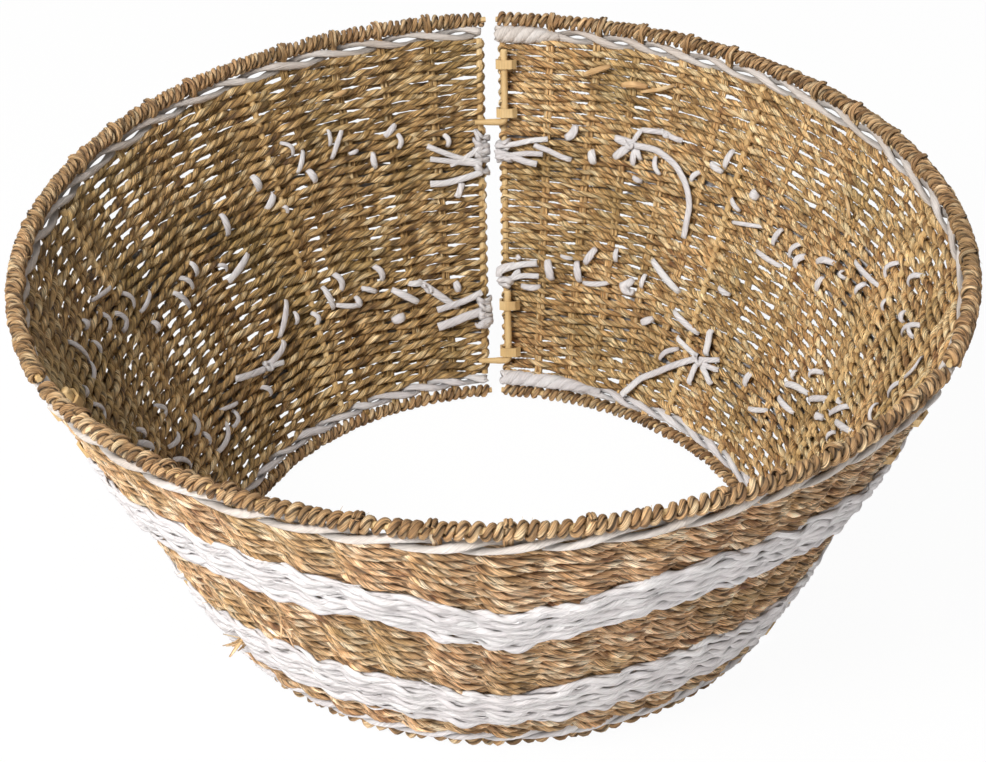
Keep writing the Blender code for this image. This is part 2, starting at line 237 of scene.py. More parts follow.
def rope(path, normal, turn, strand, twist, plies=2, press=1.0, flat=None):
    """Strands wound about a path: centre = path + twist radius * (press * outward cos a +
    across sin a), where a = turn + a share of a full turn for each strand. Each strand is a
    little wider across its radius than along it, or flat times as deep as wide where the cord
    is pressed flat."""
    tangent = unit(np.gradient(path, axis=0))
    across = unit(np.cross(tangent, normal))
    outward = np.cross(across, tangent)
    strand, twist = np.broadcast_to(strand, len(path)), np.broadcast_to(twist, len(path))
    tubes = []
    for ply in range(plies):
        angle = turn + 2 * math.pi * ply / plies
        cos, sin = np.cos(angle)[:, None], np.sin(angle)[:, None]
        line = path + (outward * cos * press + across * sin) * twist[:, None]
        if flat is None:
            tubes.append((line, outward * cos + across * sin, strand * strand_deep,
                          strand * strand_wide))
        else:
            tubes.append((line, outward, strand * flat, strand))
    return tubes


def lay_turn(path, lay, hand, rng, uneven=1.2):
    """The twist angle along a path: one full turn for each lay length, with some wander."""
    travel = lengths(path)
    return hand * 2 * math.pi * travel / lay + uneven * wander(travel, lay * 6, rng)


def skin(name, tubes, sides=strand_sides, creased=True):
    """One mesh of closed tubes. A ring is centre + side a cos t + (tangent x side) b sin t for
    even t, and its seam lies on the side away from the eye. Quads join the rings, and an
    even polygon closes each end. The attribute `outer` is (1 + cos t) / 2: 0 in the crease
    between two strands and 1 on the crown, or 1 all round for a piece that has no crease."""
    points, quads, caps, maps = [], [], [], []
    t = math.pi + 2 * math.pi * np.arange(sides) / sides
    base = 0
    for number, (centre, side, deep, wide) in enumerate(tubes):
        count = len(centre)
        tangent = unit(np.gradient(centre, axis=0))
        first = unit(side - tangent * (side * tangent).sum(1, keepdims=True))
        second = np.cross(tangent, first)
        deep, wide = np.broadcast_to(deep, count), np.broadcast_to(wide, count)
        ring = (centre[:, None] + first[:, None] * (deep[:, None] * np.cos(t))[..., None]
                + second[:, None] * (wide[:, None] * np.sin(t))[..., None])
        points.append(ring.reshape(-1, 3))
        row, column = base + sides * np.arange(count - 1)[:, None], np.arange(sides)[None]
        a, b = row + column, row + (column + 1) % sides
        quads.append(np.stack([a, b, b + sides, a + sides], -1).reshape(-1, 4))
        caps += [base + np.arange(sides)[::-1], base + (count - 1) * sides + np.arange(sides)]
        travel = lengths(centre) + 3.7 * number
        girth = 2 * math.pi * float((deep + wide).mean()) / 2 / sides
        u = np.broadcast_to(travel[:, None], (count, sides))
        v = np.broadcast_to(girth * np.arange(sides)[None], (count, sides))
        corner_u = np.stack([u[:-1], u[:-1], u[1:], u[1:]], -1)
        corner_v = np.stack([v[:-1], v[:-1] + girth, v[1:] + girth, v[1:]], -1)
        maps.append(np.stack([corner_u, corner_v], -1).reshape(-1, 2))
        base += count * sides
    corners = np.concatenate([np.concatenate(quads).ravel(), np.concatenate(caps)])
    cap_map = np.zeros((len(caps) * sides, 2))
    quad_count = sum(len(q) for q in quads)
    starts = np.concatenate([4 * np.arange(quad_count),
                             4 * quad_count + sides * np.arange(len(caps))])
    points = np.concatenate(points)
    mesh = bpy.data.meshes.new(name)
    mesh.vertices.add(len(points))
    mesh.vertices.foreach_set("co", points.astype(np.float32).ravel())
    mesh.loops.add(len(corners))
    mesh.loops.foreach_set("vertex_index", corners.astype(np.int32))
    mesh.polygons.add(len(starts))
    mesh.polygons.foreach_set("loop_start", starts.astype(np.int32))
    layer = mesh.uv_layers.new(name="strand")
    layer.data.foreach_set("uv", np.concatenate([*maps, cap_map]).astype(np.float32).ravel())
    # `outer` is the mask for the painted shade that the materials lay in the creases between
    # strands
    outer = mesh.attributes.new("outer", "FLOAT", "POINT")
    crown = (1 + np.cos(t)) / 2 if creased else np.ones(sides)
    outer.data.foreach_set("value", np.tile(crown, len(points) // sides).astype(np.float32))
    mesh.update(calc_edges=True)
    mesh.validate()
    mesh.shade_smooth()
    made = bpy.data.objects.new(name, mesh)
    bpy.context.scene.collection.objects.link(made)
    triangles = 2 * quad_count + (sides - 2) * len(caps)
    metres = sum(lengths(tube[0])[-1] for tube in tubes)
    print(f"{name}: {len(tubes)} strands, {metres:.2f} m in all, {triangles} triangles")
    return made


def dress(piece, body, material, slot, *nodes):
    """Gives a piece its material and its body, and hides the CAD nodes that it stands for."""
    piece.data.materials.append(material)
    if nodes:
        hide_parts(*nodes)
    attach(piece, body)


def make_piece(name, label, tubes, material, slot, *nodes, body=None, **shape):
    """Skins tubes as one piece of a panel and dresses it. It rides that panel unless another
    body is named."""
    dress(skin(f"{name}_{label}", tubes, **shape), body or name + "_panel", material, slot, *nodes)


# %% [markdown]
# ## Finishes
# Seagrass, paper cord and rattan are all bundles of fibre, so they share one node group. It
# reads the strand's UV map: noise that is squeezed across the strand and stretched along it
# gives fibre, and slow noise along it gives the patches where one leaf ends and the next
# begins. The colours, roughness and bump are then set in each material.

# %% Node helpers


def colour(red, green, blue):
    """A screen colour from 0 to 255 as the linear values that a shader takes."""
    screen = np.array([red, green, blue]) / 255.0
    linear = np.where(screen <= 0.04045, screen / 12.92, ((screen + 0.055) / 1.055) ** 2.4)
    return (*[float(x) for x in linear], 1.0)


def add(tree, kind, inputs=(), **settings):
    """A shader node with its settings. An input is a value or another node's output."""
    made = tree.nodes.new("ShaderNode" + kind)
    for key, value in settings.items():
        setattr(made, key, value)
    for key, value in dict(inputs).items():
        if isinstance(value, bpy.types.NodeSocket):
            tree.links.new(value, made.inputs[key])
        else:
            made.inputs[key].default_value = value
    return made


def calc(tree, operation, *values):
    """The result of a math node for values or other nodes' outputs."""
    return add(tree, "Math", dict(enumerate(values)), operation=operation).outputs[0]


def sockets(group, *rows):
    """Gives a node group its inputs and outputs, each with a first value where one is named."""
    for direction, kind, name, value in rows:
        made = group.interface.new_socket(name=name, in_out=direction, socket_type=kind)
        if value is not None:
            made.default_value = value


def fibre_group():
    """Fibre = noise(length / fibre length, way round / fibre width + slant * length) and
    Patch = noise(length / patch length), each spread from 0 to 1."""
    group = bpy.data.node_groups.new("plant_fibre", "ShaderNodeTree")
    sockets(group, ("INPUT", "NodeSocketVector", "Strand", None),
            ("INPUT", "NodeSocketFloat", "Fibre length", 0.02),
            ("INPUT", "NodeSocketFloat", "Fibre width", 0.0005),
            ("INPUT", "NodeSocketFloat", "Patch length", 0.05),
            ("INPUT", "NodeSocketFloat", "Slant", 0.0),
            ("OUTPUT", "NodeSocketFloat", "Fibre", None),
            ("OUTPUT", "NodeSocketFloat", "Patch", None))
    start, end = group.nodes.new("NodeGroupInput").outputs, group.nodes.new("NodeGroupOutput")
    parts = add(group, "SeparateXYZ", {0: start["Strand"]}).outputs
    along = calc(group, "DIVIDE", parts["X"], start["Fibre length"])
    slanted = calc(group, "MULTIPLY_ADD", parts["X"], start["Slant"], parts["Y"])
    around = calc(group, "DIVIDE", slanted, start["Fibre width"])
    patch = [calc(group, "DIVIDE", parts[axis], start["Patch length"]) for axis in ("X", "Y")]
    # where the noise is read, its detail and roughness, and the low end of its spread
    for target, at, detail, rough, low in (("Fibre", (along, around, parts["Z"]), 3.0, 0.65, 0.34),
                                           ("Patch", (*patch, 7.0), 1.5, 0.5, 0.28)):
        place = add(group, "CombineXYZ", dict(enumerate(at))).outputs[0]
        noise = add(group, "TexNoise", {"Vector": place, "Scale": 1.0, "Detail": detail,
                                        "Roughness": rough})
        spread = add(group, "MapRange", {0: noise.outputs["Fac"], 1: low, 2: 1 - low})
        group.links.new(spread.outputs[0], end.inputs[target])
    return group


fibres = fibre_group()
print("node group:", fibres.name, [s.name for s in fibres.interface.items_tree])

# %% Materials


def plant_material(name, stops, fibre, shade, bump, rough, blotch=None, strand=True, deep=0.7):
    """A fibrous finish: patches pick a colour from a ramp, fibre darkens it and painted shade
    darkens the creases, fibre lifts the bump, and a slow noise in space leans the whole
    towards the blotch colour."""
    made = bpy.data.materials.new(name)
    made.use_nodes = True
    tree = made.node_tree
    shader = tree.nodes["Principled BSDF"]
    if strand:
        where = add(tree, "UVMap", uv_map="strand").outputs[0]
    else:  # a CAD node: its own place, with the height as the way along
        split = add(tree, "SeparateXYZ", {0: add(tree, "TexCoord").outputs["Object"]}).outputs
        where = add(tree, "CombineXYZ", {0: split["Z"], 1: split["X"], 2: split["Y"]}).outputs[0]
    group = add(tree, "Group", node_tree=fibres)
    tree.links.new(where, group.inputs["Strand"])
    for key, value in zip(("Fibre length", "Fibre width", "Patch length", "Slant"), fibre):
        group.inputs[key].default_value = value
    ramp = add(tree, "ValToRGB", {0: group.outputs["Patch"]})
    ramp.color_ramp.elements.remove(ramp.color_ramp.elements[1])
    for i, (at, rgb) in enumerate(stops):
        stop = ramp.color_ramp.elements[0] if i == 0 else ramp.color_ramp.elements.new(at)
        stop.position, stop.color = at, colour(*rgb)
    tone = ramp.outputs[0]
    if blotch:
        rgb, size, most = blotch
        place = add(tree, "TexCoord").outputs["Object"]
        slow = add(tree, "TexNoise", {"Vector": place, "Scale": size, "Detail": 2.0})
        much = add(tree, "MapRange", {0: slow.outputs["Fac"], 1: 0.42, 2: 0.7, 4: most})
        tone = add(tree, "Mix", {0: much.outputs[0], 6: tone, 7: colour(*rgb)},
                   data_type="RGBA").outputs[2]
    dark, light = shade
    lines = add(tree, "MapRange", {0: group.outputs["Fibre"], 3: dark, 4: light}).outputs[0]
    if strand:  # painted shade: the creases are darkened as if less light reached them
        crown = add(tree, "Attribute", attribute_name="outer")
        crease = add(tree, "MapRange", {0: crown.outputs["Fac"], 1: 0.12, 2: 0.62, 3: deep,
                                        4: 1.0})
        lines = calc(tree, "MULTIPLY", lines, crease.outputs[0])
    grey = add(tree, "CombineColor", {0: lines, 1: lines, 2: lines})
    both = add(tree, "Mix", {0: 1.0, 6: tone, 7: grey.outputs[0]}, data_type="RGBA",
               blend_type="MULTIPLY")
    tree.links.new(both.outputs[2], shader.inputs["Base Color"])
    gloss = add(tree, "MapRange", {0: group.outputs["Fibre"], 3: rough[1], 4: rough[0]})
    tree.links.new(gloss.outputs[0], shader.inputs["Roughness"])
    height = add(tree, "Bump", {"Height": group.outputs["Fibre"], "Strength": bump,
                                "Distance": 0.0006})
    tree.links.new(height.outputs[0], shader.inputs["Normal"])
    return made


seagrass_fibre = (0.026, 0.00072, 0.012, 0.0)
# fibre_shade spreads the fibre lines from dark to light; crease_shade is the painted shade in the
# creases between strands, the share of the colour left at the deepest
fibre_shade, crease_shade = (0.20, 1.55), 0.15
# Colour ramps and fibre ranges by panel: they differ partly in hue as the real rope does, and
# partly as painted light, with back_left made darker and the front and back_right brighter as the
# lamps light them
weave_stops = {
    "front": ((0.0, (112, 72, 46)), (0.25, (184, 140, 98)), (0.6, (224, 184, 142)),
              (1.0, (250, 230, 200))),
    "back_right": ((0.0, (122, 82, 46)), (0.25, (188, 144, 92)), (0.6, (228, 188, 132)),
                   (1.0, (252, 228, 182))),
    "back_left": ((0.0, (88, 60, 30)), (0.25, (152, 116, 68)), (0.6, (204, 166, 110)),
                  (1.0, (244, 218, 172))),
}
weave_fibre_and_light = {"front": (0.22, 1.86), "back_right": (0.24, 1.80), "back_left": (0.18, 1.66)}
seagrass = {name: plant_material("seagrass_" + name, stops, seagrass_fibre, weave_fibre_and_light[name], 1.0,
                                 (0.45, 0.8), ((152, 130, 74), 22.0, 0.45), deep=crease_shade)
            for name, stops in weave_stops.items()}
rim_rope = plant_material("seagrass_rim_rope", ((0.0, (104, 74, 44)), (0.25, (162, 122, 80)),
                                                (0.6, (200, 160, 114)), (1.0, (234, 206, 164))),
                          seagrass_fibre, fibre_shade, 1.0, (0.45, 0.8),
                          ((146, 120, 76), 20.0, 0.4), deep=crease_shade)
dry_leaf = plant_material("dry_leaf", ((0.0, (176, 132, 84)), (0.5, (210, 170, 118)),
                                       (1.0, (234, 206, 160))),
                          seagrass_fibre, (0.6, 1.1), 0.6, (0.5, 0.8))
paper_fibre = (0.016, 0.0008, 0.05, 0.35)
# deep=0.62: the paper cords' creases get a lighter painted shade than the seagrass creases
white_cord = plant_material("white_paper_cord", ((0.0, (212, 206, 207)), (0.4, (228, 223, 224)),
                                                 (1.0, (238, 236, 236))),
                            paper_fibre, (0.76, 1.04), 0.9, (0.75, 0.95), deep=0.62)
cream_cord = plant_material("cream_paper_cord", ((0.0, (200, 186, 174)), (0.45, (220, 210, 202)),
                                                 (1.0, (236, 230, 226))),
                            paper_fibre, (0.76, 1.04), 0.9, (0.75, 0.95), deep=0.62)
rattan_stops = ((0.0, (176, 140, 90)), (0.4, (206, 172, 118)), (1.0, (228, 200, 150)))
rattan = plant_material("rattan_rod", rattan_stops, (0.030, 0.0005, 0.05, 0.0), (0.86, 1.04),
                        0.35, (0.42, 0.62))
rattan_node = plant_material("rattan_cad", rattan_stops, (0.030, 0.0006, 0.03, 0.0), (0.84, 1.04),
                             0.35, (0.42, 0.62), strand=False)
print("materials:", len(bpy.data.materials))

# %% [markdown]
# ## The stakes
# Seventeen stakes stand in each panel. The two at the edges and two inner ones are rattan, and
# the CAD model has them. The other thirteen are double seagrass rope, which shows on the inside
# as two little bumps between the rows. They run on up between the two white cords and into the
# rim, where the real ends are wound in.

# %% Place the stakes
inner_stake_shares = (-0.38, 0.30)
stake_shares = np.concatenate([np.linspace(-1, inner_stake_shares[0], 6),
                               np.linspace(*inner_stake_shares, 6)[1:],
                               np.linspace(inner_stake_shares[1], 1, 7)[1:]])
last_stake = len(stake_shares) - 1
rattan_stakes = (0, 5, 10, last_stake)
rope_stakes = [s for s in range(last_stake) if s not in rattan_stakes]
stake_shares[rope_stakes] += np.random.default_rng(99).uniform(-0.009, 0.009, len(rope_stakes))
edge_stake_inset = 0.0046
weave_middle = 0.0006  # the weave's middle lies this far outward of the wall's
white_bands = {"upper": (slant_length - 0.1140, slant_length - 0.0700),
               "lower": (0.0356, 0.0826)}


def share_at(stake, place):
    """The share of the wall at a stake number: between stakes it runs evenly, and all of it is
    drawn in so that the first and last fall on the edge stakes."""
    drawn = 1 - edge_stake_inset / half_length(place)
    return np.interp(stake, np.arange(len(stake_shares)), stake_shares) * drawn


front_sag_shares = (-1.0, -0.85, -0.65, -0.45, -0.3, -0.2, -0.1, 0.02, 0.1, 0.2, 0.3, 0.45, 0.6,
                    0.8, 1.0)
front_sag = (0.0, -8, -15, -14, -14, -11, -4, 7, 0, -10, -16, -16, -12, -5, 0)  # millimetres
row_sag_share = 0.6  # the rope rows sag less than the white bands over them


def sag(panel, place, share, much=row_sag_share):
    """The front panel's rows hang down in the middle and belly out there: a smoothed table over
    the share of the width, times the lesser of 2 h and 6 h (1 - h), held to 1, where h is the
    share of the height."""
    if panel:
        return 0.0 * (place + share), 0.0 * (place + share)
    near = np.linspace(-0.05, 0.05, 5)
    table = np.interp(np.asarray(share)[..., None] + near, front_sag_shares,
                      np.array(front_sag) / 1000).mean(-1)
    height = place / slant_length
    hold = np.clip(np.minimum(2 * height, 6 * height * (1 - height)), 0, 1)
    return much * table * hold, 0.0030 * np.exp(-((share - 0.02) / 0.3) ** 2) * hold


def woven(panel, place, share, offset, run=0.0, much=row_sag_share):
    """The wall with the panel's own sag in it."""
    down, out = sag(panel, place, share, much)
    return wall(panel, place - down, share, offset + out, run)


stake_strand = 0.0015
for k, name in enumerate(panels):
    rng = np.random.default_rng(100 + k)
    tubes = []
    for stake in rope_stakes:
        place = np.linspace(0.0005, slant_length - 0.0005, 110)
        path, normal, along = woven(k, place, share_at(stake, place), weave_middle)
        sway = 0.0005 * wander(place, 0.03, rng)
        for side in (-1, 1):
            line = path + along * (side * stake_strand * 0.95 + sway)[:, None]
            tubes.append((line, normal, stake_strand * 0.9, stake_strand * 1.02))
    make_piece(name, "rope_stakes", tubes, seagrass[name], "seagrass_weave", creased=False)

# %% [markdown]
# ## The woven rows
# In a plain weave the rope goes before one stake and behind the next, and the row above it does
# the opposite. So the offset is `amplitude * (-1)^row * cos(pi * stake)`, one formula for every
# row. Beside a stake two rows draw together and leave a slit to the next pair, through which the
# light shows. At an edge the rope goes round the edge stake in a half circle and comes back as
# the next row, so a panel is one long rope, and the twist runs through without a break. It is
# cut into three meshes by height, which keeps each of them small.

# %% Weave the panels
weave_swing, edge_swing = 0.0030, 0.0018
point_step = 0.0021
row_drifts = ((0.0006, 7.0), (0.0003, 1.3))  # how far a row strays, and over how many stakes
rod_swell, rod_reach = 0.34, 0.32  # how much rope spreads before a rattan stake, and how far
strand_share, twist_share = 0.44, 0.25  # radii of strand and twist as shares of the row step
# count of rows, length and hand of the rope's lay, and how far the rows draw together beside a
# stake
weave_ropes = {"front": (57, 0.0240, 1, 0.0006), "back_right": (63, 0.0160, 1, 0.0003),
               "back_left": (63, 0.0200, -1, 0.0005)}


def weft_line(row_count, row_step, pairing, rng):
    """The rope's path through a panel as stake number, height, outward offset, sideways run and
    swell, which is the share by which a row spreads where it crosses a rattan stake.
    Rows: offset = swing * sign * cos(pi stake). Turns: offset = swing * sign * cos t and
    run = swing * sin t for t from 0 to pi, while the height moves on to the next row."""
    rows = []
    for row in range(row_count):
        place = wall_start + row_step * (row + 0.5)
        forth = 1 if row % 2 == 0 else -1
        sign = forth
        count = int(2 * half_length(place) / point_step)
        stake = np.linspace(0, last_stake, count)[::forth]
        swing = edge_swing + (weave_swing - edge_swing) * smooth(np.minimum(stake,
                                                                            last_stake - stake))
        swing = swing * varied(stake, 5.0, 0.10, rng)
        lift = pairing * sign * np.sin(2 * math.pi * stake) * varied(stake, 3, 0.5, rng)
        for much, wave in row_drifts:
            lift = lift + much * wander(stake, wave, rng)
        swell = sum(rng.choice((0.0, rod_swell), p=(0.3, 0.7))
                    * np.exp(-((stake - rod) / rod_reach) ** 2) for rod in rattan_stakes[1:-1])
        rows.append(np.stack([stake, place + lift, swing * sign * np.cos(math.pi * stake),
                              0 * stake, swell]))
        if row < row_count - 1:
            t = np.linspace(0, math.pi, 7)[1:-1]
            edge = last_stake if forth == 1 else 0
            start = sign * math.cos(math.pi * edge)
            rows.append(np.stack([0 * t + edge, place + row_step * smooth(t / math.pi),
                                  edge_swing * start * np.cos(t), edge_swing * forth * np.sin(t),
                                  0 * t]))
    return np.concatenate(rows, 1)


piece_cuts = (0.0, 0.36, 0.70, 1.0)
for k, name in enumerate(panels):
    rng = np.random.default_rng(200 + k)
    row_count, lay, hand, pairing = weave_ropes[name]
    row_step = (wall_end - wall_start) / row_count
    stake, place, offset, run, swell = weft_line(row_count, row_step, pairing, rng)
    pressed = sum(smooth((place - low) / 0.004) * smooth((high - place) / 0.004)
                  for low, high in white_bands.values())
    path, normal, _ = woven(k, place, share_at(stake, place),
                            weave_middle + offset - 0.0005 * pressed, run)
    travel = lengths(path)
    thick = 1 + 0.09 * wander(travel, 0.11, rng) + 0.08 * wander(travel, 0.021, rng) + swell
    at_edge = 1 - smooth(np.minimum(stake, last_stake - stake) / 0.5)
    thick = thick * (1 - at_edge) + 0.86 * at_edge  # drawn tight where it turns back
    tubes = rope(path, normal, lay_turn(path, lay, hand, rng), strand_share * row_step * thick,
                 twist_share * row_step * thick)
    cuts = [int(share * (len(path) - 1)) for share in piece_cuts]
    for part, (start, stop) in zip(("low", "middle", "high"), zip(cuts, cuts[1:])):
        stretch = [tuple(x[start:stop + 1] for x in tube) for tube in tubes]
        stands_for = (name + "_woven_wall",) if part == "middle" else ()
        make_piece(name, "weave_" + part, stretch, seagrass[name], "seagrass_weave", *stands_for)

# %% [markdown]
# ## The rims
# Each rim is a rattan core with rope wound round it. A winding is a helix about a curved line,
# and the rope in it is itself two strands about that helix, so the same rope function is used
# on a coiled path. Hand winding is uneven, and the pitch and the radius wander.

# %% Wind the rims
# pitch of the winding, radius of a strand and radius of its twist
rim_ropes = {"front_wide": (0.0058, 0.00166, 0.00120),
             "back_right_wide": (0.0046, 0.00134, 0.00090),
             "back_left_wide": (0.0043, 0.00128, 0.00085),
             "front_narrow": (0.0088, 0.00215, 0.00130),
             "back_right_narrow": (0.0054, 0.00145, 0.00095),
             "back_left_narrow": (0.0054, 0.00145, 0.00095)}
rim_lay, coil_step = 0.016, 0.0011
coil_end_gap = 0.0026  # a winding stops this far short of the core's ends


def coil_path(panel, place, radius, pitch, hand, rng):
    """A winding: centre line + radius * (outward cos a + up sin a), where a grows by a full
    turn for each pitch travelled along the rim."""
    about = 2 * half_length(place)
    count = int(about / pitch * 2 * math.pi * radius / coil_step)
    share = np.linspace(-1, 1, count) * (1 - coil_end_gap / half_length(place))
    travel = share * about / 2
    line, outward, along = wall(panel, place, share)
    rise = np.cross(along, outward)
    angle = hand * 2 * math.pi * travel / pitch + 1.5 * wander(travel, 0.05, rng)
    wide = radius * varied(travel, 0.013, 0.12, rng)
    radial = outward * np.cos(angle)[:, None] + rise * np.sin(angle)[:, None]
    return line + radial * wide[:, None], radial


for k, name in enumerate(panels):
    for ring, place in (("wide", slant_length), ("narrow", 0.0)):
        rng = np.random.default_rng(300 + 10 * k + (ring == "wide"))
        pitch, strand, twist = rim_ropes[f"{name}_{ring}"]
        radius = rim_radius[ring] + 0.0002 - strand - twist
        path, radial = coil_path(k, place, radius, pitch, -1, rng)
        thick = varied(lengths(path), 0.04, 0.14, rng)
        tubes = rope(path, radial, lay_turn(path, rim_lay, 1, rng), strand * thick, twist * thick)
        make_piece(name, ring + "_rim_winding", tubes, rim_rope, "seagrass_rim",
                   f"{name}_{ring}_rim_wrap", sides=8)

# %% [markdown]
# Each rope stake's ends are led up past the white cords, bent over the inner side of the rim and
# wound in. The bend is an arc about the rim's middle in the plane of the wall's slope.

# %% Tie the stakes to the wide rims
tie_turn = np.radians(np.linspace(-70, 100, 14))  # from under the rim to over its top
tie_foot = np.linspace(-0.0125, -0.0070, 5)  # below the rim's middle, where a tie leaves the weave
for k, name in enumerate(panels):
    rng = np.random.default_rng(350 + k)
    tubes = []
    for stake in rope_stakes:
        around = rim_radius["wide"] + rng.uniform(0.0, 0.0006)
        rise = np.concatenate([tie_foot, around * np.sin(tie_turn)])
        inward = np.concatenate([np.linspace(0.0004, 0.0016, 5), around * np.cos(tie_turn)])
        share = (share_at(stake, slant_length) + rng.uniform(-0.004, 0.004)
                 + rng.uniform(-0.012, 0.012) * np.linspace(0, 1, len(rise)))
        path, normal, along = wall(k, slant_length + rise, share, -inward)
        for side in (-1, 1):
            apart = (0.0010 + 0.0005 * wander(rise, 0.02, rng))[:, None]
            tubes.append((path + along * side * apart, -normal, 0.0010,
                          rng.uniform(0.0010, 0.0014)))
    make_piece(name, "stake_ties", tubes, rim_rope, "seagrass_rim")

# %% [markdown]
# ## White edge cords
# Under each rim two white paper cords are twined: they pass either side of a stake and change
# places between stakes. That is a two-strand rope whose half turn is one stake apart, so the
# twist angle is simply pi times the stake number.

# %% Twine the edge cords
# radius of a strand and of the twist, finish, and how far the front panel's cord lies off its place
edge_cords = {"wide": (0.0023, 0.0030, cream_cord, -0.0020),
              "narrow": (0.0024, 0.0023, white_cord, 0.0013)}
for k, name in enumerate(panels):
    for ring, (cord, twist, material, front_shift) in edge_cords.items():
        rng = np.random.default_rng(400 + 10 * k + (ring == "wide"))
        place = cord_place[ring] + front_shift * (k == 0)
        stake = np.linspace(-0.12, last_stake + 0.12, 420)
        travel = stake * 0.03
        path, normal, _ = woven(k, place + 0.0006 * wander(travel, 0.09, rng),
                                share_at(stake, place), weave_middle + (0.0012 if k == 0 else 0))
        turned = math.pi * stake * (1 if k else -1) + 0.35 * wander(travel, 0.1, rng)
        wide = cord * varied(travel, 0.05, 0.12, rng)
        tubes = rope(path, normal, turned, wide, twist, press=0.8)
        make_piece(name, ring + "_twined_cord", tubes, material, "white_paper_cord",
                   f"{name}_{ring}_edge_cord", sides=8)

# %% [markdown]
# ## White woven bands
# Two bands of white cord are worked over the outer face. The cord is soft paper pressed flat,
# and it follows the weave's bulges over the stakes. At an edge most rows go round the edge stake
# and end on the inside, which is why white shows at the seams from within.

# %% Work the bands
band_rows = 7
band_margin = 0.0028  # from a band's edge to its first row
ragged_edge, ragged_row = 0.0026, 0.0018  # how far a band's outer and inner rows stray
paper_width, paper_split, paper_lay = 0.0023, 0.0015, 0.046  # strand, twist and lay of the cord
lower_leg_place = 0.0226
upper_leg_down, lower_leg_down = 0.0700, slant_length - lower_leg_place
pin_length = 0.0500


# At the back seam the picture shows white only where a few rows go round together: the way
# down from the wide ring, by panel and edge.
seen_turns = {(1, 1): ((0.0815, 0.1005), (0.178, 0.193)),
              (2, -1): ((0.0800, 0.1060), (0.194, 0.214))}


def goes_round(panel, place, edge):
    """Whether a row may go round an edge stake, clear of the pins and loops there."""
    down = slant_length - place
    seen = seen_turns.get((panel, edge))
    if seen and not any(low < down < high for low, high in seen):
        return False
    if edge > 0:
        upper = down > upper_leg_down + 0.0055
        return upper and not lower_leg_down - pin_length - 0.002 < down < lower_leg_down + 0.004
    return min(abs(down - upper_leg_down), abs(down - lower_leg_down)) > 0.0055


def band_row(panel, place, ragged, rng):
    """A row: offset = 5.0 mm + 1.7 mm cos squared (pi stake), then at each edge a half circle
    round the edge stake and a short free end on the inside that dives back into the weave."""
    stake = np.linspace(0.0, last_stake, 300)
    height = place + ragged * wander(stake, 3.2, rng) + 0.0010 * wander(stake, 1.3, rng)
    offset = 0.0050 + 0.0017 * np.cos(math.pi * stake) ** 2 + 0.0007 * wander(stake, 2.4, rng)
    offset = offset - 0.0045 * (1 - smooth(stake / 0.3) * smooth((last_stake - stake) / 0.3))
    run = 0 * stake
    for edge in (-1, 1):
        end = 0 if edge < 0 else last_stake
        if goes_round(panel, place, edge):
            t = np.linspace(0, math.pi, 12)
            longest = 0.006 if (panel, edge) in seen_turns else 0.016
            free = rng.uniform(0.003, longest)
            inner = np.linspace(0, 1, 12)[1:]
            tail_run = np.concatenate([0.0050 * np.sin(t), -free * inner]) * edge
            tail_offset = np.concatenate([weave_middle + 0.0052 * np.cos(t),
                                          -0.0050 - 0.0012 * np.sin(math.pi * inner)
                                          + 0.0030 * smooth((inner - 0.75) / 0.25)])
            drift = rng.uniform(-0.006, 0.006)
            tail_height = np.concatenate([0 * t, drift * inner]) + height[-1 if edge > 0 else 0]
            keep = slice(None, -6) if edge > 0 else slice(6, None)
            rows = [np.stack([0 * tail_run + end, tail_height, tail_offset, tail_run])]
            main = np.stack([stake, height, offset, run])[:, keep]
        else:
            rows, main = [], np.stack([stake, height, offset, run])
        if edge < 0:
            rows = [r[:, ::-1] for r in rows] + [main]
        else:
            rows = [main] + rows
        stake, height, offset, run = np.concatenate(rows, 1)
    return stake, height, offset, run


sliver_count = 90  # to a band


def sliver(panel, low, high, rng):
    """A torn strip of the paper on a band's face: a straight line on the wall at a small angle,
    at the cords' own offset over the stakes, with its ends pressed down."""
    t = np.linspace(-0.5, 0.5, 7)
    long, tilt = rng.uniform(0.006, 0.018), rng.normal(0.0, 0.16)
    place = rng.uniform(low, high) + long * math.sin(tilt) * t
    share = rng.uniform(-0.94, 0.94) + long * math.cos(tilt) * t / half_length(place)
    at = np.interp(share, share_at(np.arange(last_stake + 1), place.mean()),
                   np.arange(last_stake + 1))
    lift = 0.0060 + 0.0017 * np.cos(math.pi * at) ** 2 + rng.uniform(-0.0003, 0.0008)
    path, normal, _ = woven(panel, place, share, lift - 0.0016 * (2 * t) ** 2, 0.0, 1.0)
    wide = rng.uniform(0.0005, 0.0012) * (1 - 0.55 * (2 * t) ** 2)
    return path, normal, 0.00030, wide


